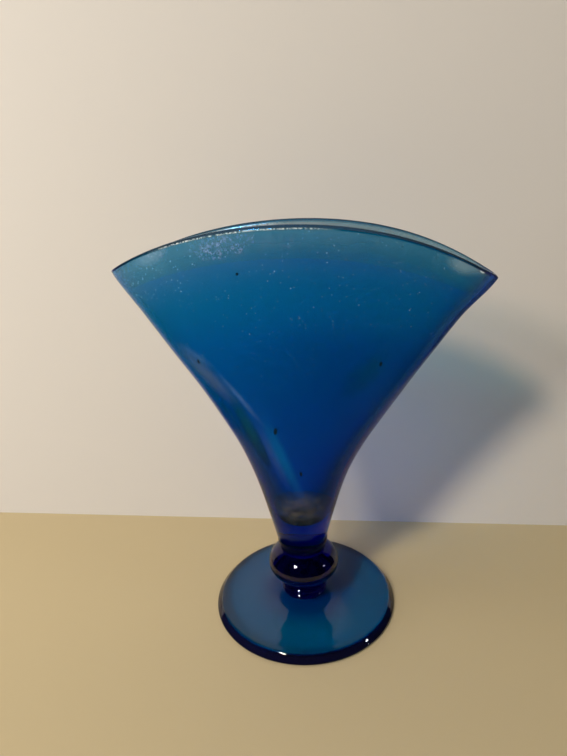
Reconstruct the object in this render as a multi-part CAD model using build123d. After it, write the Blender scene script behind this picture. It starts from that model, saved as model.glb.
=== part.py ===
from build123d import *
import math
import os

# Footed fan vase of hot-worked glass.
# Frame: origin at the centre of the foot's underside, +Z up, +X along the
# fan's width, +Y through its thickness. Millimetres.

# ---- overall -------------------------------------------------------------
FOOT_R = 51.6            # radius of the disc foot
FOOT_TOP_Z = 7.8         # flat seat for the stem at the middle of the domed foot
FOOT_SHOULDER = ((15.0, 7.72), (18.0, 7.5), (20.3, 7.1), (22.3, 6.5), (25.0, 5.8),
                 (28.0, 5.2), (31.0, 4.8), (34.0, 4.58), (37.0, 4.48))    # (radius, height) down the dome
FOOT_TROUGH_R = 40.0     # the top dips to a shallow trough here ...
FOOT_TROUGH_Z = 4.45
FOOT_CROWN_R = 46.8      # ... and rises to a low crown inside its sloping edge
FOOT_CROWN_Z = 4.75
FOOT_EDGE = ((47.7, 4.66), (48.35, 4.38), (48.9, 3.92), (49.7, 3.08), (50.5, 2.18), (51.15, 1.38))      # (radius, height) down the edge
FOOT_EDGE_MID_Z = 0.6    # height at which the foot is widest
REST_RING_IN_R = 38.0    # the foot stands on a flat ring from here ...
REST_RING_OUT_R = 50.2   # ... to here
HOLLOW_UNDER_Z = 1.0     # how far the underside is hollowed at the middle
PONTIL_R = 8.5           # ground and polished disc at the middle of the underside
PONTIL_DEPTH = 0.6       # how much deeper that disc is than the underside

LOWER_COLLAR_TOP_Z = 16.2
RING_R = (13.0, 12.95)   # the two rings of the lower collar, bottom then top
RING_Z = (8.8, 12.1)
RING_GROOVE_R = 11.9     # groove between the rings
RING_GROOVE_Z = 10.7
LOWER_COLLAR_SEAT_R = 12.85
KNOP_FOOT_R = 10.9       # radius where the knop meets the lower collar

KNOP_R = 19.9            # largest radius of the knop
KNOP_MID_Z = 25.6        # height of that radius
KNOP_TOP_Z = 36.0
KNOP_HEAD_R = 12.8       # radius where the knop meets the upper collar

BOWL_BASE_Z = 43.0
BOWL_BASE_R = 13.9

# ---- bowl: outer half width and half depth by height ---------------------
HALF_WIDTH = ((43.0, 13.9), (50.0, 15.57), (57.0, 17.37), (65.0, 19.53),
              (76.0, 22.7), (88.0, 26.9), (102.0, 33.39), (118.0, 42.88),
              (136.0, 54.48), (154.0, 66.96), (172.0, 79.35), (190.0, 93.15), (224.0, 107.8))
HALF_DEPTH = ((43.0, 13.9), (50.0, 15.0), (60.0, 15.95), (80.0, 16.8), (120.0, 17.5),
              (165.0, 17.5), (216.0, 16.8), (224.0, 16.7))
# Flatness of the section |x/w|^p + |y/d|^2 = 1: 2 is an ellipse, more is squarer.
FLATNESS = ((43.0, 2.0), (60.0, 2.0), (110.0, 2.5), (150.0, 2.6), (190.0, 2.2), (224.0, 2.05))
# The free-hand bowl drifts a little to one side of the foot's axis.
DRIFT = ((43.0, -0.2), (65.0, 0.05), (85.0, 0.28), (106.0, 0.97), (128.0, 1.28),
         (150.0, 0.69), (172.0, 0.36), (192.0, 1.16), (224.0, 1.16))
# One tip of the fan sits lower than the other: share of the half width and its cube.
TILT_1 = 0.36
TILT_3 = 2.34
TILT_SPAN = 90.0
TILT_FROM_Z = 62.0       # the tilt grows from nothing here ...
TILT_TO_Z = 152.0        # ... to its full amount here

# ---- bowl: hollow, as half width and half depth by height ----------------
HOLLOW_BOTTOM_Z = 54.6
HOLLOW_W = ((54.6, 3.2), (55.2, 5.5), (56.6, 7.8), (58.6, 9.4), (61.6, 10.9), (66.0, 12.2))
HOLLOW_D = ((54.6, 3.1), (55.2, 5.3), (56.6, 7.4), (58.6, 8.8), (61.6, 9.9), (66.0, 10.7))
# Above that the wall is given instead: at the narrow sides and on the broad faces.
WALL_SIDE = ((66.0, 7.5), (78.0, 6.5), (95.0, 5.8), (115.0, 5.2), (150.0, 4.4), (190.0, 5.5), (224.0, 5.5))
WALL_FACE = ((66.0, 5.5), (78.0, 4.7), (95.0, 3.9), (115.0, 3.4), (150.0, 3.0), (185.0, 2.8), (205.0, 2.9), (216.0, 3.2), (224.0, 3.2))

# ---- bowl: arched mouth --------------------------------------------------
MOUTH_TOP_Z = 215.0      # highest point of the arched rim
MOUTH_HALF = 92.6        # half width at the tips
MOUTH_SAG_2 = 18.18      # drop of the arch: square term ...
MOUTH_SAG_4 = 4.89       # ... and fourth power term
LIP_RISE = 1.45          # fire-polished lip: how far it rounds over above the walls
TIP_RISE = 0.2           # the lip swells into a bead at the two tips: extra rise there ...
TIP_LIFT = 1.18          # ... and how much higher the wall ends on the inside than on the outside
TIP_POWER = 11.0         # how quickly both fade away from the tips

AROUND = 48              # points round each section
OUTER_ROWS = 13          # arched rows on the outside between the neck and the mouth
INNER_ROWS = 13
LIP_ROWS = 7


def monotone(table):
    """Piecewise cubic through a table of (z, value), with no overshoot."""
    xs = [t[0] for t in table]
    ys = [t[1] for t in table]
    n = len(xs)
    h = [xs[i + 1] - xs[i] for i in range(n - 1)]
    d = [(ys[i + 1] - ys[i]) / h[i] for i in range(n - 1)]
    m = [d[0]] + [0.0] * (n - 2) + [d[-1]]
    for i in range(1, n - 1):
        if d[i - 1] * d[i] > 0:
            w1, w2 = 2 * h[i] + h[i - 1], h[i] + 2 * h[i - 1]
            m[i] = (w1 + w2) / (w1 / d[i - 1] + w2 / d[i])

    def at(x):
        x = min(max(x, xs[0]), xs[-1])
        i = max(k for k in range(n - 1) if xs[k] <= x)
        t = (x - xs[i]) / h[i]
        return ((2 * t**3 - 3 * t**2 + 1) * ys[i] + (t**3 - 2 * t**2 + t) * h[i] * m[i]
                + (-2 * t**3 + 3 * t**2) * ys[i + 1] + (t**3 - t**2) * h[i] * m[i + 1])

    return at


half_width = monotone(HALF_WIDTH)
half_depth = monotone(HALF_DEPTH)
flatness = monotone(FLATNESS)
drift = monotone(DRIFT)
hollow_w = monotone(HOLLOW_W)
hollow_d = monotone(HOLLOW_D)
wall_side = monotone(WALL_SIDE)
wall_face = monotone(WALL_FACE)


def tilt_share(z):
    t = min(max((z - TILT_FROM_Z) / (TILT_TO_Z - TILT_FROM_Z), 0.0), 1.0)
    return t * t * (3 - 2 * t)


def section(w, d, p, a, z):
    """Point at angle a of the section |x/w|^p + |y/d|^2 = 1 at height z, with drift and tilt."""
    c = math.cos(a)
    x = w * c
    y = math.copysign(d * math.sqrt(max(0.0, 1 - abs(c) ** p)), math.sin(a))
    u = x / TILT_SPAN
    return Vector(x + drift(z), y, z - tilt_share(z) * (TILT_1 * u + TILT_3 * u**3))


def outside(a, z):
    return section(half_width(z), half_depth(z), flatness(z), a, z)


def inside(a, z):
    if z < 66.0:
        return section(hollow_w(z), hollow_d(z), 2.0, a, z)
    return section(half_width(z) - wall_side(z), half_depth(z) - wall_face(z), flatness(z), a, z)


def rim_height(x):
    """Height of the arched mouth above a point x from the fan's middle, before the tilt."""
    t = x / MOUTH_HALF
    return MOUTH_TOP_Z - LIP_RISE - MOUTH_SAG_2 * t**2 - MOUTH_SAG_4 * t**4


def meet(a):
    """Height at which the wall line at angle a meets the arched mouth."""
    lo, hi = 150.0, 223.0
    for _ in range(50):
        mid = (lo + hi) / 2
        if mid < rim_height(half_width(mid) * math.cos(a)):
            lo = mid
        else:
            hi = mid
    return (lo + hi) / 2


def tip_share(a):
    return abs(math.cos(a)) ** TIP_POWER


ANGLES = [2 * math.pi * (k + 0.5) / AROUND - math.pi / 2 for k in range(AROUND)]
RIM_OUT = [meet(a) for a in ANGLES]
RIM_IN = [top + TIP_LIFT * tip_share(a) for a, top in zip(ANGLES, RIM_OUT)]


def closed_curve(points):
    n = len(points)
    return Wire([Edge.make_spline(points, periodic=True, parameters=[k / n for k in range(n + 1)])])


def arched_row(surface, start, share, rim):
    """Closed curve part of the way up from a level section to the arched mouth."""
    return closed_curve([surface(a, start + share * (top - start)) for a, top in zip(ANGLES, rim)])


def lip_rows():
    """Closed curves that carry the outer wall over the rounded lip to the inner one."""
    rows = [[] for _ in range(LIP_ROWS)]
    ends = []
    for a, top, top_in in zip(ANGLES, RIM_OUT, RIM_IN):
        out, inn = outside(a, top), inside(a, top_in)
        below = (outside(a, top - 1.0) + inside(a, top_in - 1.0)) * 0.5
        rise = LIP_RISE + TIP_RISE * tip_share(a)
        mid = (out + inn) * 0.5
        up = (mid - below).normalized()
        half = out - mid
        for k in range(LIP_ROWS):
            b = math.pi * (k + 1) / (LIP_ROWS + 1)
            rows[k].append(mid + half * math.cos(b) + up * (rise * math.sin(b)))
        ends.append(inn)
    return [closed_curve(r) for r in rows], closed_curve(ends)


def make_bowl():
    outer = [closed_curve([outside(a, z) for a in ANGLES]) for z in (BOWL_BASE_Z, 46.5, 50.5, 56.0, 62.0, 69.0, 77.0)]
    outer += [arched_row(outside, 77.0, k / OUTER_ROWS, RIM_OUT) for k in range(1, OUTER_ROWS + 1)]
    lip, inner_top = lip_rows()
    inner = [arched_row(inside, 80.0, k / INNER_ROWS, RIM_IN) for k in range(INNER_ROWS - 1, 0, -1)]
    inner += [closed_curve([inside(a, z) for a in ANGLES])
              for z in (80.0, 72.5, 66.0, 61.6, 58.6, 56.6, 55.2, HOLLOW_BOTTOM_Z)]
    wall_out = Shell.make_loft(outer)
    over_lip = Shell.make_loft([outer[-1]] + lip + [inner_top])
    wall_in = Shell.make_loft([inner_top] + inner)
    base = Face(outer[0])
    bottom = Face(inner[-1])
    faces = list(wall_out.faces()) + list(over_lip.faces()) + list(wall_in.faces()) + [base, bottom]
    return Solid(Shell(faces))


def revolved(points, curves):
    """Solid of revolution about Z from straight runs and smooth runs of (r, z)."""
    edges = []
    for kind, a, b, *ends in curves:
        run = points[a:b + 1]
        if kind == "line":
            edges += [Edge.make_line(Vector(p[0], 0, p[1]), Vector(q[0], 0, q[1])) for p, q in zip(run, run[1:])]
        else:
            # ends, if given, are the directions (r, z) in which the run starts and stops
            tangents = [Vector(r, 0, z) for r, z in ends] or None
            edges.append(Edge.make_spline([Vector(r, 0, z) for r, z in run], tangents=tangents))
    edges.append(Edge.make_line(Vector(points[-1][0], 0, points[-1][1]), Vector(points[0][0], 0, points[0][1])))
    return revolve(Face(Wire(edges)), Axis.Z, 360)


def make_foot():
    r_in = PONTIL_R + 0.8
    lift = HOLLOW_UNDER_Z
    pts = [(0.0, lift + PONTIL_DEPTH), (PONTIL_R, lift + PONTIL_DEPTH), (r_in, lift)]
    pts += [(18.0, 0.86 * lift), (28.0, 0.42 * lift), (REST_RING_IN_R, 0.0), (REST_RING_OUT_R, 0.0)]
    # rounded from the resting ring out to the widest point, then up the sloping edge to the crown
    n = 5
    for k in range(1, n + 1):
        a = math.pi / 2 * (k / n - 1)
        pts.append((REST_RING_OUT_R + (FOOT_R - REST_RING_OUT_R) * math.cos(a), FOOT_EDGE_MID_Z * (1 + math.sin(a))))
    pts += list(reversed(FOOT_EDGE)) + [(FOOT_CROWN_R, FOOT_CROWN_Z)]
    # in over the trough and up the dome to the seat
    top = [(43.2, 4.55), (FOOT_TROUGH_R, FOOT_TROUGH_Z)] + list(reversed(FOOT_SHOULDER)) + [(LOWER_COLLAR_SEAT_R + 0.05, FOOT_TOP_Z)]
    pts += top + [(0.0, FOOT_TOP_Z)]
    i0 = 6
    i1 = i0 + n + len(FOOT_EDGE) + 1
    i2 = i1 + len(top)
    return revolved(pts, [("line", 0, 2), ("curve", 2, 5, (1, 0), (1, -0.02)), ("line", 5, 6),
                          ("curve", i0, i0 + n, (1, 0), (0, 1)), ("curve", i0 + n, i1, (0, 1), (-1, 0)),
                          ("curve", i1, i2, (-1, 0), (-1, 0)), ("line", i2, i2 + 1)])


def make_lower_collar():
    z0, z1 = FOOT_TOP_Z, LOWER_COLLAR_TOP_Z
    pts = [(0.0, z0), (LOWER_COLLAR_SEAT_R, z0),
           (RING_R[0], RING_Z[0]), (12.75, 9.6), (12.15, 10.25), (RING_GROOVE_R, RING_GROOVE_Z), (12.2, 11.2),
           (RING_R[1], RING_Z[1]), (12.5, 13.05), (11.5, 13.95), (10.75, 14.9), (10.6, 15.5), (KNOP_FOOT_R, z1), (0.0, z1)]
    return revolved(pts, [("line", 0, 1), ("curve", 1, 5), ("curve", 5, 12), ("line", 12, 13)])


def make_knop():
    z0, z1 = LOWER_COLLAR_TOP_Z, KNOP_TOP_Z
    low = (KNOP_MID_Z - z0) / math.sqrt(1 - (KNOP_FOOT_R / KNOP_R) ** 2)
    high = (z1 - KNOP_MID_Z) / math.sqrt(1 - (KNOP_HEAD_R / KNOP_R) ** 2)
    a0 = math.acos(KNOP_FOOT_R / KNOP_R)
    a1 = math.acos(KNOP_HEAD_R / KNOP_R)
    pts = [(0.0, z0)]
    n = 7
    for k in range(n + 1):
        a = a0 * (1 - k / n)
        pts.append((KNOP_R * math.cos(a), KNOP_MID_Z - low * math.sin(a)))
    for k in range(1, n + 1):
        a = a1 * k / n
        pts.append((KNOP_R * math.cos(a), KNOP_MID_Z + high * math.sin(a)))
    pts.append((0.0, z1))
    return revolved(pts, [("line", 0, 1), ("curve", 1, 2 * n + 1), ("line", 2 * n + 1, 2 * n + 2)])


def make_upper_collar():
    z0, z1 = KNOP_TOP_Z, BOWL_BASE_Z
    pts = [(0.0, z0), (KNOP_HEAD_R, z0), (12.95, 36.7), (13.3, 38.0), (13.75, 39.8), (14.05, 41.4),
           (14.1, 42.3), (BOWL_BASE_R, z1), (0.0, z1)]
    return revolved(pts, [("line", 0, 1), ("curve", 1, 7), ("line", 7, 8)])


pieces = {
    "foot": make_foot(),
    "lower_collar": make_lower_collar(),
    "knop": make_knop(),
    "upper_collar": make_upper_collar(),
    "bowl": make_bowl(),
}

os.makedirs("parts", exist_ok=True)
for name, solid in pieces.items():
    solids = solid.solids()
    box = solid.bounding_box()
    print(name, "solids", len(solids), "volume %.1f" % sum(s.volume for s in solids),
          "min", tuple(round(v, 3) for v in box.min), "max", tuple(round(v, 3) for v in box.max))
    export_step(solid, "parts/%s.step" % name)
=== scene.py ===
import math
import bpy
import numpy as np
from mathutils import Matrix, Vector


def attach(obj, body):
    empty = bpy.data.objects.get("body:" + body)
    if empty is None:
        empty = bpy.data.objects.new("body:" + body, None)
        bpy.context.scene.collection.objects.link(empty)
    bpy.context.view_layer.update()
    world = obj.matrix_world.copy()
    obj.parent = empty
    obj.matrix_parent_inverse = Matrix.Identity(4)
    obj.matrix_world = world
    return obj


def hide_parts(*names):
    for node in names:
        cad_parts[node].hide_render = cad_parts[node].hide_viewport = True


# Footed fan vase of blue hot-worked glass, in metres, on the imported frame.
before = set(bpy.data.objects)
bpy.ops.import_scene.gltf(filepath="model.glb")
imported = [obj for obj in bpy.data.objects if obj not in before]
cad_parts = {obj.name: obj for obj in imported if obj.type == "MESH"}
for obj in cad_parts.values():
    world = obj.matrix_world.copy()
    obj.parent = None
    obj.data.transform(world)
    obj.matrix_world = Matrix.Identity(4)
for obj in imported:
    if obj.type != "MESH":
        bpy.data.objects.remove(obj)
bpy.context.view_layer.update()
scene = bpy.context.scene
MM = 0.001

# =========================================================================
# Camera: the photograph's pinhole view. All numbers are for a 567 x 756 frame.
# =========================================================================
FRAME_W, FRAME_H, FOCAL_PX = 567, 756, 568.0
CAM_BACK, CAM_HEIGHT = 272.37, 237.71          # mm from the vase's axis, mm above the floor
CAM_PITCH, CAM_YAW, CAM_ROLL = 20.160, -1.294, -3.005
VASE_YAW = 10.575                              # how far the +X tip is turned towards the camera


def to_vase(v):
    a = math.radians(VASE_YAW)
    x, y, z = v
    return Vector((x * math.cos(a) - y * math.sin(a), x * math.sin(a) + y * math.cos(a), z))


def make_camera():
    th, ps, ro = (math.radians(v) for v in (CAM_PITCH, CAM_YAW, CAM_ROLL))
    ahead = Vector((math.sin(ps) * math.cos(th), math.cos(ps) * math.cos(th), -math.sin(th)))
    right = Vector((math.cos(ps), -math.sin(ps), 0.0))
    up = right.cross(ahead)
    r2 = right * math.cos(ro) + up * math.sin(ro)
    u2 = -right * math.sin(ro) + up * math.cos(ro)
    r2, u2, back = to_vase(r2), to_vase(u2), to_vase(-ahead)
    data = bpy.data.cameras.new("camera")
    data.sensor_fit = "AUTO"
    data.sensor_width = 36.0
    data.lens = FOCAL_PX / FRAME_H * 36.0
    data.clip_start, data.clip_end = 0.01, 50.0
    cam = bpy.data.objects.new("camera", data)
    scene.collection.objects.link(cam)
    place = to_vase((0.0, -CAM_BACK, CAM_HEIGHT)) * MM
    cam.matrix_world = Matrix(((r2.x, u2.x, back.x, place.x), (r2.y, u2.y, back.y, place.y),
                               (r2.z, u2.z, back.z, place.z), (0, 0, 0, 1)))
    scene.camera = cam
    return cam


make_camera()

# =========================================================================
# Geometry of the glass, in millimetres
# =========================================================================
FOOT_R, FOOT_TOP_Z, FOOT_EDGE_MID_Z, REST_RING_OUT_R = 51.59, 7.8, 0.6, 50.2
FOOT_CROWN_R, FOOT_CROWN_Z, FOOT_TROUGH_R, FOOT_TROUGH_Z = 46.8, 4.75, 40.0, 4.45
FOOT_SHOULDER = [(15.0, 7.72), (18.0, 7.5), (20.3, 7.1), (22.3, 6.5), (25.0, 5.8), (28.0, 5.2), (31.0, 4.8), (34.0, 4.58), (37.0, 4.48)]
FOOT_EDGE = [(47.7, 4.66), (48.35, 4.38), (48.9, 3.92), (49.7, 3.08), (50.5, 2.18), (51.15, 1.38)]
STEM_SEAT_R = 12.85
LOWER_COLLAR_TOP_Z, KNOP_TOP_Z, BOWL_BASE_Z = 16.2, 36.0, 43.0
KNOP_R, KNOP_MID_Z, KNOP_FOOT_R, KNOP_HEAD_R = 19.9, 25.6, 10.9, 12.8

HALF_WIDTH = ((43.0, 13.9), (50.0, 15.57), (57.0, 17.37), (65.0, 19.53),
              (76.0, 22.7), (88.0, 26.9), (102.0, 33.39), (118.0, 42.88),
              (136.0, 54.48), (154.0, 66.96), (172.0, 79.35), (190.0, 93.15), (224.0, 107.8))
HALF_DEPTH = ((43.0, 13.9), (50.0, 15.0), (60.0, 15.95), (80.0, 16.8), (120.0, 17.5),
              (165.0, 17.5), (216.0, 16.8), (224.0, 16.7))
FLATNESS = ((43.0, 2.0), (60.0, 2.0), (110.0, 2.5), (150.0, 2.6), (190.0, 2.2), (224.0, 2.05))
DRIFT = ((43.0, -0.2), (65.0, 0.05), (85.0, 0.28), (106.0, 0.97), (128.0, 1.28),
         (150.0, 0.69), (172.0, 0.36), (192.0, 1.16), (224.0, 1.16))
TILT_1, TILT_3, TILT_SPAN, TILT_FROM_Z, TILT_TO_Z = 0.36, 2.34, 90.0, 62.0, 152.0
HOLLOW_BOTTOM_Z = 54.6
HOLLOW_W = ((54.6, 3.2), (55.2, 5.5), (56.6, 7.8), (58.6, 9.4), (61.6, 10.9), (66.0, 12.2))
HOLLOW_D = ((54.6, 3.1), (55.2, 5.3), (56.6, 7.4), (58.6, 8.8), (61.6, 9.9), (66.0, 10.7))
WALL_SIDE = ((66.0, 7.5), (78.0, 6.5), (95.0, 5.8), (115.0, 5.2), (150.0, 4.4), (190.0, 5.5), (224.0, 5.5))
WALL_FACE = ((66.0, 5.5), (78.0, 4.7), (95.0, 3.9), (115.0, 3.4), (150.0, 3.0), (185.0, 2.8), (205.0, 2.9), (216.0, 3.2), (224.0, 3.2))
MOUTH_TOP_Z, MOUTH_HALF, MOUTH_SAG_2, MOUTH_SAG_4, LIP_RISE = 215.0, 92.6, 18.18, 4.89, 1.45
TIP_RISE, TIP_LIFT, TIP_POWER = 0.2, 1.18, 11.0

OVERLAP = 0.04      # neighbouring gathers run this far into each other, so that no air shows between them


def monotone(table):
    """Piecewise cubic through (z, value) pairs with no overshoot; works on arrays."""
    xs = np.array([t[0] for t in table], float)
    ys = np.array([t[1] for t in table], float)
    h, d = np.diff(xs), np.diff(ys) / np.diff(xs)
    m = np.zeros(len(xs))
    m[0], m[-1] = d[0], d[-1]
    for i in range(1, len(xs) - 1):
        if d[i - 1] * d[i] > 0:
            w1, w2 = 2 * h[i] + h[i - 1], h[i] + 2 * h[i - 1]
            m[i] = (w1 + w2) / (w1 / d[i - 1] + w2 / d[i])

    def at(x):
        x = np.clip(np.asarray(x, float), xs[0], xs[-1])
        i = np.clip(np.searchsorted(xs, x, side="right") - 1, 0, len(xs) - 2)
        t = (x - xs[i]) / h[i]
        return ((2 * t**3 - 3 * t**2 + 1) * ys[i] + (t**3 - 2 * t**2 + t) * h[i] * m[i]
                + (-2 * t**3 + 3 * t**2) * ys[i + 1] + (t**3 - t**2) * h[i] * m[i + 1])

    return at


half_width, half_depth, flatness, drift = (monotone(t) for t in (HALF_WIDTH, HALF_DEPTH, FLATNESS, DRIFT))
hollow_w, hollow_d, wall_side, wall_face = (monotone(t) for t in (HOLLOW_W, HOLLOW_D, WALL_SIDE, WALL_FACE))


def section(w, d, p, a, z):
    c = np.cos(a)
    x = w * c
    y = np.copysign(d * np.sqrt(np.maximum(0.0, 1 - np.abs(c) ** p)), np.sin(a))
    u = x / TILT_SPAN
    t = np.clip((z - TILT_FROM_Z) / (TILT_TO_Z - TILT_FROM_Z), 0.0, 1.0)
    return np.stack([x + drift(z), y, z - t * t * (3 - 2 * t) * (TILT_1 * u + TILT_3 * u**3)], -1)


def outside(a, z):
    return section(half_width(z), half_depth(z), flatness(z), a, z)


def inside(a, z):
    low = z < 66.0
    w = np.where(low, hollow_w(z), half_width(z) - wall_side(np.maximum(z, 66.0)))
    d = np.where(low, hollow_d(z), half_depth(z) - wall_face(np.maximum(z, 66.0)))
    return section(w, d, np.where(low, 2.0, flatness(z)), a, z)


def rim_height(x):
    t = x / MOUTH_HALF
    return MOUTH_TOP_Z - LIP_RISE - MOUTH_SAG_2 * t**2 - MOUTH_SAG_4 * t**4


def meet(a):
    lo, hi = np.full(a.shape, 150.0), np.full(a.shape, 223.0)
    for _ in range(50):
        mid = (lo + hi) / 2
        under = mid < rim_height(half_width(mid) * np.cos(a))
        lo, hi = np.where(under, mid, lo), np.where(under, hi, mid)
    return (lo + hi) / 2


def even_angles(n):
    """Angles round the fan's section, closer together where the section turns fast, at its two narrow sides."""
    a = np.linspace(0, 2 * np.pi, 4001)
    z = 150.0
    p = section(half_width(z), half_depth(z), flatness(z), a, np.full(a.shape, z))
    step = np.linalg.norm(np.diff(p, axis=0), axis=1) + 0.9 * np.abs(np.diff(a)) * 30
    s = np.concatenate([[0], np.cumsum(step)])
    return np.interp(np.linspace(0, s[-1], n, endpoint=False), s, a)


def lofted(name, rings, first_point, last_point, sharp=(), marks=None):
    """Closed smooth mesh through rings of points, from a pole before the first ring to a pole past the last.
    sharp lists the rings that are true edges. marks gives named numbers for every point."""
    n = len(rings[0])
    m = len(rings)
    verts = np.concatenate([np.concatenate(rings), [first_point], [last_point]]) * MM
    k = np.arange(n)
    nxt = (k + 1) % n
    quads = np.concatenate([np.stack([j * n + k, j * n + nxt, (j + 1) * n + nxt, (j + 1) * n + k], -1) for j in range(m - 1)])
    start = np.stack([np.full(n, m * n), nxt, k], -1)
    end = np.stack([(m - 1) * n + k, (m - 1) * n + nxt, np.full(n, m * n + 1)], -1)
    faces = [tuple(map(int, f)) for f in start] + [tuple(map(int, f)) for f in quads] + [tuple(map(int, f)) for f in end]
    mesh = bpy.data.meshes.new(name)
    mesh.from_pydata([tuple(map(float, v)) for v in verts], [], faces)
    mesh.polygons.foreach_set("use_smooth", np.ones(len(faces), bool))
    mesh.update()
    if sharp:
        pair = np.zeros(len(mesh.edges) * 2, np.int32)
        mesh.edges.foreach_get("vertices", pair)
        row = pair.reshape(-1, 2) // n
        inside_rings = (pair.reshape(-1, 2) < m * n).all(1)
        flags = inside_rings & (row[:, 0] == row[:, 1]) & np.isin(row[:, 0], list(sharp))
        mark = mesh.attributes.new("sharp_edge", "BOOLEAN", "EDGE")
        mark.data.foreach_set("value", flags)
    for key, values in (marks or {}).items():
        layer = mesh.attributes.new(key, "FLOAT", "POINT")
        layer.data.foreach_set("value", np.asarray(values, np.float32))
    ob = bpy.data.objects.new(name, mesh)
    scene.collection.objects.link(ob)
    return ob


def tilt_drop(x, z):
    u = x / TILT_SPAN
    t = np.clip((z - TILT_FROM_Z) / (TILT_TO_Z - TILT_FROM_Z), 0.0, 1.0)
    return t * t * (3 - 2 * t) * (TILT_1 * u + TILT_3 * u**3)


def bowl_mesh():
    n = 288
    a = even_angles(n)
    top = meet(a)
    share = np.abs(np.cos(a)) ** TIP_POWER
    top_in = top + TIP_LIFT * share
    one = np.ones(n)
    base = outside(a, BOWL_BASE_Z * one)
    base[:, 2] = BOWL_BASE_Z - OVERLAP
    rings, skin = [base], [1.0]
    rings += [outside(a, z * one) for z in np.linspace(BOWL_BASE_Z + 0.3, 77.0, 46)]
    rings += [outside(a, 77.0 + (top - 77.0) * (k / 120)) for k in range(1, 121)]
    skin += [1.0] * 166
    out, inn = outside(a, top), inside(a, top_in)
    below = (outside(a, top - 1.0) + inside(a, top_in - 1.0)) / 2
    mid = (out + inn) / 2
    up = mid - below
    up /= np.linalg.norm(up, axis=1)[:, None]
    rise = (LIP_RISE - 0.02 + TIP_RISE * share)[:, None]
    # the lip is rounded, a little flatter half way down each side, where the fire has pulled it
    for k in range(1, 26):
        b = math.pi * k / 26
        rings.append(mid + (out - mid) * math.copysign(abs(math.cos(b)) ** 1.4, math.cos(b)) + up * (rise * math.sin(b) ** 1.4))
        skin.append((1 + math.cos(b)) / 2)
    rings.append(inn)
    rings += [inside(a, 80.0 + (top_in - 80.0) * (k / 110)) for k in range(109, -1, -1)]
    low = list(np.linspace(79.0, 62.0, 20)) + list(np.linspace(61.2, 56.0, 12)) + [55.7, 55.4, 55.2, 55.0, 54.85, 54.72, 54.64]
    rings += [inside(a, z * one) for z in low]
    end = rings[-1]
    centre = np.array([end[:, 0].mean(), 0.0, HOLLOW_BOTTOM_Z])
    for s in (0.7, 0.4):
        r = centre + (end - centre) * s
        r[:, 2] = HOLLOW_BOTTOM_Z + 0.04 * s * s
        rings.append(r)
    skin += [0.0] * (len(rings) - len(skin))
    first = np.array([float(drift(BOWL_BASE_Z)), 0.0, BOWL_BASE_Z - OVERLAP])
    # Where each point lies: millimetres under the arched rim, share of the way out to the narrow side, outer skin or inner
    p = np.concatenate([np.concatenate(rings), [first], [centre]])
    x = p[:, 0] - drift(p[:, 2])
    under = rim_height(x) + LIP_RISE - tilt_drop(x, p[:, 2]) - p[:, 2]
    across = np.clip(np.abs(x) / half_width(p[:, 2]), 0.0, 1.2)
    outer = np.concatenate([np.repeat(skin, n), [1.0], [0.0]])
    return lofted("bowl_glass", rings, first, centre, sharp=(0,), marks={"under_rim": under, "across": across, "outer_skin": outer})


def spline_through(points, n, ends=None):
    """Smooth curve through (r, z) points, sampled n times between each pair."""
    p = np.array(points, float)
    t = np.concatenate([[0], np.cumsum(np.linalg.norm(np.diff(p, axis=0), axis=1))])
    m = len(p)
    h = np.diff(t)
    A, B = np.zeros((m, m)), np.zeros((m, 2))
    for i in range(1, m - 1):
        A[i, i - 1], A[i, i], A[i, i + 1] = 1 / h[i - 1], 2 * (1 / h[i - 1] + 1 / h[i]), 1 / h[i]
        B[i] = 3 * ((p[i] - p[i - 1]) / h[i - 1] ** 2 + (p[i + 1] - p[i]) / h[i] ** 2)
    if ends is None:
        A[0, 0], A[0, 1], B[0] = 2, 1, 3 * (p[1] - p[0]) / h[0]
        A[-1, -1], A[-1, -2], B[-1] = 2, 1, 3 * (p[-1] - p[-2]) / h[-1]
    else:
        A[0, 0] = A[-1, -1] = 1
        for row, e in ((0, ends[0]), (-1, ends[1])):
            e = np.array(e, float)
            B[row] = e / np.linalg.norm(e)
    d = np.linalg.solve(A, B)
    out = [p[0]]
    for i in range(m - 1):
        for k in range(1, n + 1):
            u = k / n
            out.append((2 * u**3 - 3 * u**2 + 1) * p[i] + (u**3 - 2 * u**2 + u) * h[i] * d[i]
                       + (-2 * u**3 + 3 * u**2) * p[i + 1] + (u**3 - u**2) * h[i] * d[i + 1])
    return np.array(out)


def turned(name, runs, n=224):
    """Closed solid of revolution from runs of (r, z) points that follow on from each other, axis to axis.
    The joint between two runs is a true edge where the second run is marked sharp."""
    a = np.linspace(0, 2 * np.pi, n, endpoint=False)
    pts, edges = [], []
    for points, sharp in runs:
        points = [tuple(map(float, p)) for p in points]
        if pts and np.allclose(pts[-1], points[0], atol=1e-6):
            points = points[1:]
        if sharp:
            edges.append(len(pts) - 1)
        pts += points
    body = pts[1:-1]
    rings = [np.stack([r * np.cos(a), r * np.sin(a), np.full(n, z)], -1) for r, z in body]
    return lofted(name, rings, (0, 0, pts[0][1]), (0, 0, pts[-1][1]), sharp=[e - 1 for e in edges])


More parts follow.
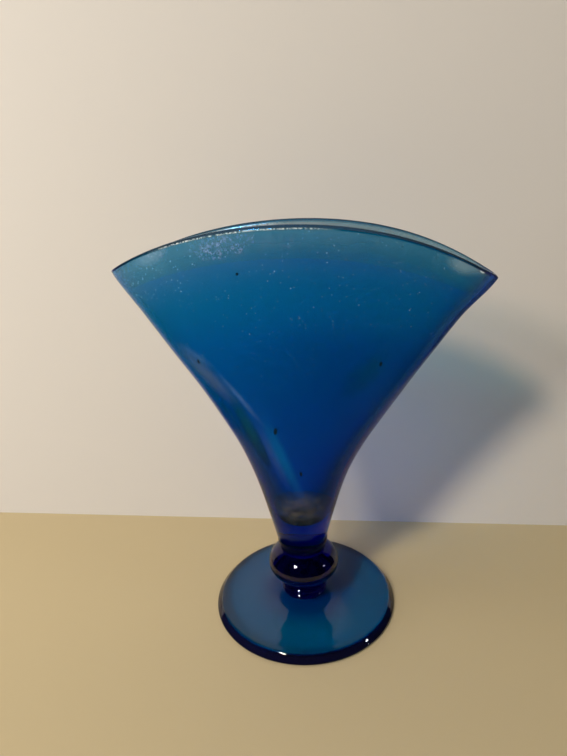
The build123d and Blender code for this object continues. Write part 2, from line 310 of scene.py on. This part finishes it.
def foot_mesh():
    under = spline_through([(9.3, 1.0), (18.0, 0.86), (28.0, 0.42), (38.0, 0.0)], 8, ((1, 0), (1, -0.02)))
    edge = [(REST_RING_OUT_R + (FOOT_R - REST_RING_OUT_R) * math.cos(b), FOOT_EDGE_MID_Z * (1 + math.sin(b)))
            for b in np.linspace(-math.pi / 2, 0, 17)]
    slope = spline_through([(FOOT_R, FOOT_EDGE_MID_Z)] + FOOT_EDGE[::-1] + [(FOOT_CROWN_R, FOOT_CROWN_Z)], 8, ((0, 1), (-1, 0)))
    top = spline_through([(FOOT_CROWN_R, FOOT_CROWN_Z), (43.2, 4.55), (FOOT_TROUGH_R, FOOT_TROUGH_Z)] + FOOT_SHOULDER[::-1]
                         + [(STEM_SEAT_R + 0.05, FOOT_TOP_Z)], 8, ((-1, 0), (-1, 0)))
    return turned("foot_glass", [
        ([(0, 1.6), (3.0, 1.6), (6.0, 1.6), (8.4, 1.6)], False),
        ([(8.4, 1.6), (8.5, 1.59), (8.7, 1.46), (9.1, 1.1), (9.2, 1.01), (9.3, 1.0)], False),
        (under, False),
        ([(38.0, 0.0), (42.0, 0.0), (46.0, 0.0), (REST_RING_OUT_R, 0.0)], False),
        (edge, False),
        (slope, False),
        (top, False),
        ([(STEM_SEAT_R + 0.05, FOOT_TOP_Z), (12.6, FOOT_TOP_Z), (11.8, FOOT_TOP_Z), (8.0, FOOT_TOP_Z), (4.0, FOOT_TOP_Z), (0, FOOT_TOP_Z)], False),
    ], n=288)


def lower_collar_mesh():
    z0, z1 = FOOT_TOP_Z, LOWER_COLLAR_TOP_Z
    wall = np.concatenate([
        spline_through([(STEM_SEAT_R, z0), (13.0, 8.8), (12.75, 9.6), (12.15, 10.25), (11.9, 10.7)], 8),
        spline_through([(11.9, 10.7), (12.2, 11.2), (12.95, 12.1), (12.5, 13.05), (11.5, 13.95), (10.75, 14.9), (10.6, 15.5), (10.9, z1)], 7)[1:]])
    return turned("lower_collar_glass", [
        ([(0, z0 - OVERLAP), (6.0, z0 - OVERLAP), (STEM_SEAT_R, z0 - OVERLAP)], False),
        ([(STEM_SEAT_R, z0 - OVERLAP)] + list(map(tuple, wall)) + [(10.9, z1 + OVERLAP)], True),
        ([(10.9, z1 + OVERLAP), (6.0, z1 + OVERLAP), (0, z1 + OVERLAP)], True),
    ])


def knop_mesh():
    z0, z1 = LOWER_COLLAR_TOP_Z, KNOP_TOP_Z
    low = (KNOP_MID_Z - z0) / math.sqrt(1 - (KNOP_FOOT_R / KNOP_R) ** 2)
    high = (z1 - KNOP_MID_Z) / math.sqrt(1 - (KNOP_HEAD_R / KNOP_R) ** 2)
    a0, a1 = math.acos(KNOP_FOOT_R / KNOP_R), math.acos(KNOP_HEAD_R / KNOP_R)
    wall = [(KNOP_R * math.cos(b), KNOP_MID_Z - low * math.sin(b)) for b in np.linspace(a0, 0, 40)]
    wall += [(KNOP_R * math.cos(b), KNOP_MID_Z + high * math.sin(b)) for b in np.linspace(0, a1, 40)[1:]]
    (ra, _), (rb, _) = wall[0], wall[-1]
    return turned("knop_glass", [
        ([(0, z0 - OVERLAP), (6.0, z0 - OVERLAP), (ra, z0 - OVERLAP)], False),
        ([(ra, z0 - OVERLAP)] + wall + [(rb, z1 + OVERLAP)], True),
        ([(rb, z1 + OVERLAP), (6.0, z1 + OVERLAP), (0, z1 + OVERLAP)], True),
    ])


def upper_collar_mesh():
    z0, z1 = KNOP_TOP_Z, BOWL_BASE_Z
    wall = spline_through([(12.8, z0), (12.95, 36.7), (13.3, 38.0), (13.75, 39.8), (14.05, 41.4), (14.1, 42.3), (13.9, z1)], 6)
    return turned("upper_collar_glass", [
        ([(0, z0 - OVERLAP), (6.0, z0 - OVERLAP), (12.8, z0 - OVERLAP)], False),
        ([(12.8, z0 - OVERLAP)] + list(map(tuple, wall)) + [(13.9, z1 + OVERLAP)], True),
        ([(13.9, z1 + OVERLAP), (6.0, z1 + OVERLAP), (0, z1 + OVERLAP)], True),
    ])


# =========================================================================
# Materials
# =========================================================================
def new_material(name):
    m = bpy.data.materials.new(name)
    m.use_nodes = True
    m.node_tree.nodes.clear()
    return m, m.node_tree


def add(nt, kind, **settings):
    n = nt.nodes.new(kind)
    for k, v in settings.items():
        setattr(n, k, v)
    return n


def link(nt, a, b):
    nt.links.new(a, b)


def math_node(nt, op, a, b=None, clamp=False):
    n = add(nt, "ShaderNodeMath", operation=op, use_clamp=clamp)
    for i, v in enumerate((a, b)):
        if v is None:
            continue
        if isinstance(v, (int, float)):
            n.inputs[i].default_value = v
        else:
            link(nt, v, n.inputs[i])
    return n.outputs[0]


def ramp(nt, value, from_a, from_b, to_a=0.0, to_b=1.0, smooth=True):
    n = add(nt, "ShaderNodeMapRange", interpolation_type="SMOOTHSTEP" if smooth else "LINEAR")
    link(nt, value, n.inputs["Value"])
    n.inputs["From Min"].default_value, n.inputs["From Max"].default_value = from_a, from_b
    n.inputs["To Min"].default_value, n.inputs["To Max"].default_value = to_a, to_b
    return n.outputs["Result"]


def place(nt):
    """Object coordinates in metres, and their parts."""
    c = add(nt, "ShaderNodeTexCoord")
    s = add(nt, "ShaderNodeSeparateXYZ")
    link(nt, c.outputs["Object"], s.inputs[0])
    return c.outputs["Object"], s.outputs[0], s.outputs[1], s.outputs[2]


def radius(nt, x, y):
    return math_node(nt, "SQRT", math_node(nt, "ADD", math_node(nt, "MULTIPLY", x, x), math_node(nt, "MULTIPLY", y, y)))


def noise(nt, co, scale, detail=3.0, rough=0.55, stretch=None):
    if stretch is not None:
        m = add(nt, "ShaderNodeMapping")
        m.inputs["Scale"].default_value = stretch
        link(nt, co, m.inputs["Vector"])
        co = m.outputs["Vector"]
    n = add(nt, "ShaderNodeTexNoise")
    n.inputs["Scale"].default_value, n.inputs["Detail"].default_value, n.inputs["Roughness"].default_value = scale, detail, rough
    link(nt, co, n.inputs["Vector"])
    return n.outputs["Fac"]


def cells(nt, co, scale, randomness=1.0):
    """Distance to the nearest of many scattered points, and a random number for each."""
    v = add(nt, "ShaderNodeTexVoronoi")
    v.inputs["Scale"].default_value, v.inputs["Randomness"].default_value = scale, randomness
    link(nt, co, v.inputs["Vector"])
    s = add(nt, "ShaderNodeSeparateColor")
    link(nt, v.outputs["Color"], s.inputs[0])
    return v.outputs["Distance"], s.outputs[0]


def mark(nt, name):
    return add(nt, "ShaderNodeAttribute", attribute_type="GEOMETRY", attribute_name=name).outputs["Fac"]


def mul(nt, *values):
    out = values[0]
    for v in values[1:]:
        out = math_node(nt, "MULTIPLY", out, v)
    return out


def plus(nt, *values, clamp=False):
    out = values[0]
    for v in values[1:]:
        out = math_node(nt, "ADD", out, v, clamp=clamp)
    return out


def blend_colour(nt, factor, a, b):
    """a and b are colours or links."""
    n = add(nt, "ShaderNodeMix", data_type="RGBA", clamp_factor=True)
    link(nt, factor, n.inputs[0])
    for slot, v in ((n.inputs[6], a), (n.inputs[7], b)):
        if isinstance(v, tuple):
            slot.default_value = (*v, 1)
        else:
            link(nt, v, slot)
    return n.outputs[2]


def spot(nt, x, z, cx, cz, rx, rz, turn=0.0, soft=0.5):
    """1 inside an ellipse on the broad face, centred at (cx, cz) mm, falling softly to 0 at its edge."""
    c, s = math.cos(math.radians(turn)), math.sin(math.radians(turn))
    dx = math_node(nt, "SUBTRACT", x, cx * MM)
    dz = math_node(nt, "SUBTRACT", z, cz * MM)
    u = plus(nt, mul(nt, dx, c / (rx * MM)), mul(nt, dz, s / (rx * MM)))
    v = plus(nt, mul(nt, dx, -s / (rz * MM)), mul(nt, dz, c / (rz * MM)))
    d = math_node(nt, "SQRT", plus(nt, mul(nt, u, u), mul(nt, v, v)))
    return ramp(nt, d, 1.0, 1.0 - soft)


IOR = 1.52


def glass(name, density, seams, roughness=0.0, tint=(1, 1, 1), lamp_tint=(0.67, 0.67, 0.67)):
    """Solid glass: a refracting surface with absorption inside. Rays to the lamps pass it straight, tinted.
    seams says where the piece is fused to its neighbours: below a height, above a height, or above a height inside a radius.
    There the surface has no optical step."""
    m, nt = new_material(name)
    out = add(nt, "ShaderNodeOutputMaterial")
    p = add(nt, "ShaderNodeBsdfPrincipled")
    p.inputs["Base Color"].default_value = (1, 1, 1, 1)
    p.inputs["Transmission Weight"].default_value = 1.0
    p.inputs["IOR"].default_value = IOR
    p.inputs["Specular Tint"].default_value = (*tint, 1)
    co, x, y, z = place(nt)
    fused = None
    for kind, height, reach in seams:
        if kind == "below":
            f = math_node(nt, "LESS_THAN", z, (height - OVERLAP / 2) * MM)
        else:
            f = math_node(nt, "GREATER_THAN", z, (height + (OVERLAP / 2 if reach is None else -0.05)) * MM)
            if reach is not None:
                f = math_node(nt, "MULTIPLY", f, math_node(nt, "LESS_THAN", radius(nt, x, y), (reach - 0.01) * MM))
        fused = f if fused is None else math_node(nt, "MAXIMUM", fused, f)
    p.inputs["Roughness"].default_value = roughness
    link(nt, math_node(nt, "SUBTRACT", IOR, math_node(nt, "MULTIPLY", fused, IOR - 1.0)), p.inputs["IOR"])
    clear = add(nt, "ShaderNodeBsdfTransparent")
    clear.inputs["Color"].default_value = (*lamp_tint, 1)
    path = add(nt, "ShaderNodeLightPath")
    mix = add(nt, "ShaderNodeMixShader")
    link(nt, path.outputs["Is Shadow Ray"], mix.inputs["Fac"])
    link(nt, p.outputs["BSDF"], mix.inputs[1])
    link(nt, clear.outputs["BSDF"], mix.inputs[2])
    link(nt, mix.outputs["Shader"], out.inputs["Surface"])
    most = max(density)
    v = add(nt, "ShaderNodeVolumeAbsorption")
    v.inputs["Color"].default_value = (*[1 - d / most for d in density], 1)
    v.inputs["Density"].default_value = most
    link(nt, v.outputs["Volume"], out.inputs["Volume"])
    return m, nt, p, (co, x, y, z), fused, clear


# Absorption per metre, for red, green and blue
BOWL_BLUE = (900.0, 150.0, 38.0)
FOOT_TEAL = (900.0, 212.0, 76.0)
STEM_COBALT = (1100.0, 900.0, 46.0)
COLLAR_COBALT = (1100.0, 900.0, 120.0)
BOWL_SHEEN = (0.04, 0.40, 1.0)
STEM_SHEEN = (0.80, 0.72, 1.0)


def bowl_material():
    m, nt, p, (co, x, y, z), fused, clear = glass("bowl_satin_glass", BOWL_BLUE, (("below", BOWL_BASE_Z, None),), tint=BOWL_SHEEN)
    under, across, outer = mark(nt, "under_rim"), mark(nt, "across"), mark(nt, "outer_skin")
    front = ramp(nt, y, 0.0, -0.001)
    below_lip = ramp(nt, under, 1.9, 2.3)
    skin = mul(nt, outer, below_lip)
    inner = ramp(nt, outer, 0.9, 0.1)
    face = mul(nt, skin, front)                      # the outer skin of the broad face towards -Y
    cloud = noise(nt, co, 55.0, 3.0)
    grain = noise(nt, co, 620.0, 2.0, 0.6)
    layers = []                                      # (weight, colour) of each haze on the glass

    def layer(weight, colour):
        layers.append((weight, colour))

    # blue body haze of the satin skin, stronger in the upper part; its rise towards -X is painted light
    body = mul(nt, skin, ramp(nt, z, 0.085, 0.185), ramp(nt, x, 0.075, -0.045, 0.35, 1.0), 0.14)
    layer(body, (0.0, 0.41, 0.75))
    # greener below the rim haze and on the +X side
    layer(mul(nt, skin, ramp(nt, under, 58.0, 28.0), ramp(nt, under, 4.0, 22.0), 0.055), (0.02, 0.52, 0.62))
    layer(mul(nt, skin, ramp(nt, x, 0.020, 0.062), ramp(nt, z, 0.105, 0.150), 0.030), (0.0, 0.42, 0.62))
    # painted highlight: a brighter band down the left of the neck, where the section turns
    layer(mul(nt, spot(nt, x, z, -5.5, 100.0, 30.0, 5.0, -69.0, 1.0), face, 0.15), (0.0, 0.42, 0.76))
    # painted light: a grey veil on the inside of the back wall under the lip, weaker towards +X
    layer(mul(nt, ramp(nt, under, 15.0, 5.0), ramp(nt, outer, 0.9, 0.1), ramp(nt, under, 0.6, 2.2), ramp(nt, cloud, 0.2, 0.8, 0.85, 1.15), ramp(nt, x, 0.0, 0.05, 1.0, 0.72), 0.42), (0.66, 0.58, 0.50))
    # pale blue haze of the iridescent skin, strongest under the rim; it is partly the skin's own haze and partly
    # painted sheen
    reach = plus(nt, under, mul(nt, x, 80.0))        # the haze comes lower towards -X
    near_rim = ramp(nt, reach, 46.0, -6.0)
    near_rim = mul(nt, near_rim, near_rim, near_rim, ramp(nt, cloud, 0.25, 0.75, 0.8, 1.15), ramp(nt, grain, 0.35, 0.7, 0.85, 1.15))
    layer(mul(nt, near_rim, skin, 0.19), (0.34, 0.56, 0.76))
    # the lip itself is painted dark and greyish as painted shade; a broken painted highlight runs under it
    layer(mul(nt, ramp(nt, under, 1.55, 1.25), 0.32), (0.08, 0.15, 0.22))
    broken_highlight = ramp(nt, noise(nt, co, 900.0, 2.0, 0.7), 0.40, 0.58)
    lip_highlight = mul(nt, ramp(nt, under, 1.25, 1.5), ramp(nt, under, 2.15, 1.85))
    layer(mul(nt, lip_highlight, ramp(nt, outer, 0.5, 0.9), front, ramp(nt, x, -0.066, -0.050), ramp(nt, x, 0.026, 0.008), broken_highlight, 0.85), (0.85, 0.92, 0.93))
    # painted highlight along the lip on the inside of the back wall
    layer(mul(nt, ramp(nt, under, 1.2, 1.5), ramp(nt, under, 3.4, 2.4), inner, ramp(nt, y, 0.0, 0.001), ramp(nt, x, -0.075, -0.060), ramp(nt, x, 0.0, -0.022), broken_highlight, 0.55), (0.85, 0.90, 0.90))

    # brighter clouds near the two tips
    tips = plus(nt, mul(nt, spot(nt, x, z, 78.0, 194.8, 9.5, 5.0, -25.0, 0.9), 1.4), mul(nt, spot(nt, x, z, 85.5, 192.5, 7.0, 3.5, -30.0, 1.0), 0.7), mul(nt, spot(nt, x, z, -66.0, 202.0, 13.0, 5.5, 22.0, 0.9), 0.55))
    layer(mul(nt, tips, face, 0.22), (0.52, 0.66, 0.76))
    # mottled violet patch left of the middle
    patch = plus(nt, spot(nt, x, z, -28.0, 205.9, 21.0, 7.0, 8.0, 0.8), mul(nt, spot(nt, x, z, -2.0, 207.0, 18.0, 5.0, 0.0, 0.9), 0.25),
                 mul(nt, spot(nt, x, z, -62.0, 203.0, 10.0, 5.5, 20.0, 0.9), 0.5))
    mottle = mul(nt, ramp(nt, noise(nt, co, 640.0, 5.0, 0.85), 0.48, 0.60), ramp(nt, noise(nt, co, 170.0, 2.0), 0.30, 0.54, 0.25, 1.0))
    layer(mul(nt, patch, mottle, face, 0.36), (0.58, 0.50, 0.92))
    # fine pale flecks over the upper and middle face
    d1, r1 = cells(nt, co, 300.0)
    d2, r2 = cells(nt, co, 640.0)
    flecks = plus(nt, mul(nt, ramp(nt, d1, 0.14, 0.06), ramp(nt, r1, 0.55, 0.62)), mul(nt, ramp(nt, d2, 0.24, 0.10), ramp(nt, r2, 0.62, 0.68), 0.7))
    layer(mul(nt, flecks, ramp(nt, under, 115.0, 25.0), ramp(nt, cloud, 0.30, 0.60, 0.45, 1.0), face, 0.32), (0.46, 0.66, 0.86))
    # painted highlight: a grey-blue streak running down the left part of the face, where it turns towards the narrow
    # side, with a browner band outside it and painted shade in a darker band inside
    highlight_streak = plus(nt, mul(nt, spot(nt, x, z, -46.5, 153.0, 13.0, 2.8, -32.0, 1.0), 0.5), spot(nt, x, z, -25.5, 132.0, 21.0, 2.0, -51.0, 1.0),
                  mul(nt, spot(nt, x, z, -10.5, 101.0, 23.0, 3.2, -67.5, 1.0), 0.4))
    layer(mul(nt, highlight_streak, face, ramp(nt, grain, 0.3, 0.6, 0.5, 1.1), 0.12), (0.38, 0.60, 0.85))
    layer(mul(nt, spot(nt, x, z, -43.0, 143.5, 26.0, 6.0, -44.5, 1.0), face, 0.10), (0.45, 0.42, 0.40))
    # painted shade: the darker band inside the streak, and a weaker darker patch on the +X half
    layer(mul(nt, plus(nt, spot(nt, x, z, -22.5, 116.0, 26.0, 4.5, -66.0, 1.0), mul(nt, spot(nt, x, z, 36.0, 146.0, 18.0, 8.0, 50.0, 1.0), 0.35)), face, ramp(nt, cloud, 0.3, 0.6, 0.6, 1.0), 0.26), (0.0, 0.11, 0.09))
    # painted violet sheen along the narrow sides, where the glass is seen edge-on
    side = mul(nt, ramp(nt, across, 0.86, 1.0), ramp(nt, z, 0.056, 0.063), outer)
    layer(mul(nt, side, ramp(nt, z, 0.150, 0.090, 0.10, 0.20), ramp(nt, cloud, 0.3, 0.7, 0.7, 1.1)), (0.36, 0.28, 0.52))
    # crackled mineral film above the bottom of the hollow
    crackle = ramp(nt, noise(nt, co, 520.0, 4.0, 0.8), 0.48, 0.56)
    film = mul(nt, spot(nt, x, z, 3.5, 70.0, 16.0, 12.0, 0.0, 0.6), ramp(nt, z, 0.0590, 0.0605), plus(nt, mul(nt, crackle, 0.12), 0.035))
    layer(mul(nt, film, face), (0.52, 0.45, 0.36))
    # painted glints by the +X tip
    tip_glint = plus(nt, spot(nt, x, z, 86.4, 191.6, 1.6, 0.9, -30.0, 0.6), mul(nt, spot(nt, x, z, 84.3, 193.6, 0.9, 0.6, -30.0, 0.6), 0.5))
    layer(mul(nt, tip_glint, face, 0.85), (0.80, 0.90, 1.0))
    # small dark seeds in the glass
    seeds = None
    for cx, cz, rx, rz, turn in ((-21.9, 193.8, 0.8, 0.8, 0), (43.3, 150.5, 0.8, 1.4, -12), (-46.3, 150.0, 0.8, 1.3, 8),
                                 (-8.2, 115.1, 1.1, 2.3, -8), (3.8, 91.5, 0.8, 1.6, 6)):
        one = spot(nt, x, z, cx, cz, rx, rz, turn, 0.6)
        seeds = one if seeds is None else plus(nt, seeds, one, clamp=True)
    total, colour = None, None
    for weight, tone in layers:
        if total is None:
            total, colour = weight, blend_colour(nt, math_node(nt, "GREATER_THAN", weight, -1.0), tone, tone)
        else:
            total = plus(nt, total, weight, clamp=True)
            colour = blend_colour(nt, math_node(nt, "DIVIDE", weight, plus(nt, total, 0.0001), clamp=True), colour, tone)
    seeds = mul(nt, seeds, face)
    colour = blend_colour(nt, math_node(nt, "MULTIPLY", seeds, 3.0, clamp=True), colour, (0.004, 0.012, 0.016))
    total = plus(nt, total, mul(nt, seeds, 0.8), clamp=True)
    link(nt, math_node(nt, "SUBTRACT", 1.0, total), p.inputs["Transmission Weight"])
    link(nt, colour, p.inputs["Base Color"])
    # satin skin, fire-polished at the lip
    rough = mul(nt, ramp(nt, under, 1.6, 3.4, 0.05, 0.23), ramp(nt, z, 0.0565, 0.0620, 0.25, 1.0))
    link(nt, rough, p.inputs["Roughness"])
    bump = add(nt, "ShaderNodeBump")
    bump.inputs["Strength"].default_value = 0.12
    bump.inputs["Distance"].default_value = 0.0004
    link(nt, plus(nt, mul(nt, noise(nt, co, 420.0, 2.0), 0.5), noise(nt, co, 60.0, 1.0)), bump.inputs["Height"])
    link(nt, bump.outputs["Normal"], p.inputs["Normal"])
    return m


def foot_material():
    m, nt, p, (co, x, y, z), fused, clear = glass("foot_gloss_glass", FOOT_TEAL, (("above", FOOT_TOP_Z, STEM_SEAT_R),))
    r = radius(nt, x, y)
    # the sloping edge throws light aside, so its shadow is dark
    tint = ramp(nt, r, 0.0455, 0.0475, 0.75, 0.10)
    link(nt, tint, clear.inputs["Color"])
    # painted shade: the slope of the edge stays dark
    edge = mul(nt, ramp(nt, r, 0.0488, 0.0496), ramp(nt, z, 0.0002, 0.0006))
    link(nt, math_node(nt, "SUBTRACT", 1.0, mul(nt, edge, 0.7)), p.inputs["Transmission Weight"])
    link(nt, blend_colour(nt, ramp(nt, edge, 0.0, 0.06), (1.0, 1.0, 1.0), (0.006, 0.006, 0.028)), p.inputs["Base Color"])
    # fine wear and wipe marks on the top, more on the resting ring
    scuff = ramp(nt, noise(nt, co, 350.0, 4.0, 0.7, (1.0, 0.25, 1.0)), 0.55, 0.75)
    ring = mul(nt, ramp(nt, z, 0.0006, 0.0001), ramp(nt, r, 0.034, 0.046))
    link(nt, plus(nt, mul(nt, scuff, 0.05), mul(nt, ring, 0.12)), p.inputs["Roughness"])
    bump = add(nt, "ShaderNodeBump")
    bump.inputs["Strength"].default_value = 0.08
    bump.inputs["Distance"].default_value = 0.0004
    link(nt, noise(nt, co, 45.0, 1.5), bump.inputs["Height"])
    link(nt, bump.outputs["Normal"], p.inputs["Normal"])
    return m


def stem_material(name, seams, density=STEM_COBALT, sheen=STEM_SHEEN):
    m, nt, p, (co, x, y, z), fused, clear = glass(name, density, seams, tint=sheen, lamp_tint=(0.2, 0.2, 0.2))
    # a trace of blue bloom in the dark glass
    p.inputs["Base Color"].default_value = (0.04, 0.06, 1.0, 1)
    p.inputs["Transmission Weight"].default_value = 0.993
    scuff = ramp(nt, noise(nt, co, 300.0, 4.0, 0.7), 0.55, 0.8)
    link(nt, plus(nt, mul(nt, scuff, 0.05), 0.04), p.inputs["Roughness"])
    bump = add(nt, "ShaderNodeBump")
    bump.inputs["Strength"].default_value = 0.08
    bump.inputs["Distance"].default_value = 0.0004
    link(nt, noise(nt, co, 90.0, 2.0), bump.inputs["Height"])
    link(nt, bump.outputs["Normal"], p.inputs["Normal"])
    return m


bowl = bowl_mesh()
foot = foot_mesh()
lower_collar = lower_collar_mesh()
knop = knop_mesh()
upper_collar = upper_collar_mesh()

bowl.data.materials.append(bowl_material())
foot.data.materials.append(foot_material())
lower_collar.data.materials.append(stem_material("lower_collar_gloss_glass", (("below", FOOT_TOP_Z, None), ("above", LOWER_COLLAR_TOP_Z, None)), COLLAR_COBALT))
knop.data.materials.append(stem_material("knop_gloss_glass", (("below", LOWER_COLLAR_TOP_Z, None), ("above", KNOP_TOP_Z, None))))
upper_collar.data.materials.append(stem_material("upper_collar_gloss_glass", (("below", KNOP_TOP_Z, None), ("above", BOWL_BASE_Z, None)), COLLAR_COBALT, (0.30, 0.30, 0.60)))

for ob, node, slot in ((bowl, "bowl", "bowl_glass"), (foot, "foot", "foot_glass"),
                       (lower_collar, "lower_collar", "stem_glass"), (knop, "knop", "stem_glass"),
                       (upper_collar, "upper_collar", "stem_glass")):
    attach(ob, "root")
    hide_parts(node)

# =========================================================================
# Stage: floor, backdrop, lights
# =========================================================================
def plain(name, colour, roughness=0.8, one_sided=False):
    m, nt = new_material(name)
    out = add(nt, "ShaderNodeOutputMaterial")
    p = add(nt, "ShaderNodeBsdfPrincipled")
    p.inputs["Base Color"].default_value = (*colour, 1)
    p.inputs["Roughness"].default_value = roughness
    p.inputs["Specular IOR Level"].default_value = 0.2
    if one_sided:
        geo = add(nt, "ShaderNodeNewGeometry")
        clear = add(nt, "ShaderNodeBsdfTransparent")
        mix = add(nt, "ShaderNodeMixShader")
        nt.links.new(geo.outputs["Backfacing"], mix.inputs["Fac"])
        nt.links.new(p.outputs["BSDF"], mix.inputs[1])
        nt.links.new(clear.outputs["BSDF"], mix.inputs[2])
        nt.links.new(mix.outputs["Shader"], out.inputs["Surface"])
    else:
        nt.links.new(p.outputs["BSDF"], out.inputs["Surface"])
    return m


def quad(name, corners, material):
    mesh = bpy.data.meshes.new(name)
    mesh.from_pydata([tuple(c) for c in corners], [], [(0, 1, 2, 3)])
    mesh.materials.append(material)
    ob = bpy.data.objects.new(name, mesh)
    scene.collection.objects.link(ob)
    return ob


# Only the near part of floor and backdrop, and no world light, is mirrored by the glass: the rest of the room is dark.
FLOOR_Z = -0.0003
floor_paint = plain("floor_pale", (0.60, 0.49, 0.30))
floor_near = quad("floor_near", [(-0.15, -0.26, FLOOR_Z), (0.17, -0.26, FLOOR_Z), (0.17, 0.15, FLOOR_Z), (-0.15, 0.15, FLOOR_Z)], floor_paint)
floor = quad("floor", [(-3, -3, FLOOR_Z - 5e-5), (3, -3, FLOOR_Z - 5e-5), (3, 3, FLOOR_Z - 5e-5), (-3, 3, FLOOR_Z - 5e-5)], floor_paint)
floor.visible_glossy = False

BOARD_LEFT, BOARD_RIGHT, BOARD_LEAN = (-0.2478, 0.0586), (0.1672, 0.0906), 10.0
along = Vector((BOARD_RIGHT[0] - BOARD_LEFT[0], BOARD_RIGHT[1] - BOARD_LEFT[1], 0)).normalized()
away = Vector((-along.y, along.x, 0))
rise = Vector((0, 0, 1)) * math.cos(math.radians(BOARD_LEAN)) + away * math.sin(math.radians(BOARD_LEAN))
mid = Vector((BOARD_LEFT[0] + BOARD_RIGHT[0], BOARD_LEFT[1] + BOARD_RIGHT[1], 0)) / 2 + Vector((0, 0, FLOOR_Z))
board_paint = plain("backdrop_pale", (0.73, 0.70, 0.68), one_sided=True)
board_near = quad("backdrop_near", [mid - along * 0.27, mid + along * 0.215, mid + along * 0.215 + rise * 1.1, mid - along * 0.27 + rise * 1.1], board_paint)
behind = away * 1e-4
board = quad("backdrop", [mid - along * 1.1 + behind, mid + along * 1.1 + behind, mid + along * 1.1 + rise * 1.1 + behind,
                          mid - along * 1.1 + rise * 1.1 + behind], board_paint)
board.visible_glossy = False


def area_light(name, azimuth, elevation, distance, size, power, colour):
    """Round soft lamp aimed at the vase. Azimuth 0 is towards -Y, positive towards +X."""
    az, el = math.radians(azimuth), math.radians(elevation)
    aim = Vector((0, 0, 0.12))
    to = Vector((math.sin(az) * math.cos(el), -math.cos(az) * math.cos(el), math.sin(el)))
    data = bpy.data.lights.new(name, "AREA")
    data.shape = "DISK"
    data.size = size
    data.energy = power
    data.color = colour
    ob = bpy.data.objects.new(name, data)
    scene.collection.objects.link(ob)
    ob.location = aim + to * distance
    ob.rotation_mode = "QUATERNION"
    ob.rotation_quaternion = to.to_track_quat("Z", "Y")
    ob.visible_transmission = False
    return ob


area_light("key", -24.0, 43.6, 1.4, 0.21, 8.0, (1.0, 0.93, 0.80))
area_light("key_glint", -24.0, 43.6, 1.39, 0.21, 8.0, (1.0, 0.93, 0.80)).visible_diffuse = False
area_light("side", -34.5, 31.0, 1.4, 0.26, 5.0, (1.0, 0.95, 0.86)).visible_glossy = False
area_light("fill", -70.0, 22.0, 0.9, 0.80, 3.4, (1.0, 0.95, 0.88)).visible_glossy = False
area_light("glint", 82.0, 17.7, 1.2, 0.08, 0.5, (0.85, 0.93, 1.0))
world = bpy.data.worlds.new("world")
world.use_nodes = True
world.node_tree.nodes["Background"].inputs["Color"].default_value = (1.0, 0.96, 0.90, 1)
world.node_tree.nodes["Background"].inputs["Strength"].default_value = 0.03
world.cycles_visibility.glossy = False
scene.world = world
scene.view_settings.view_transform = "Standard"
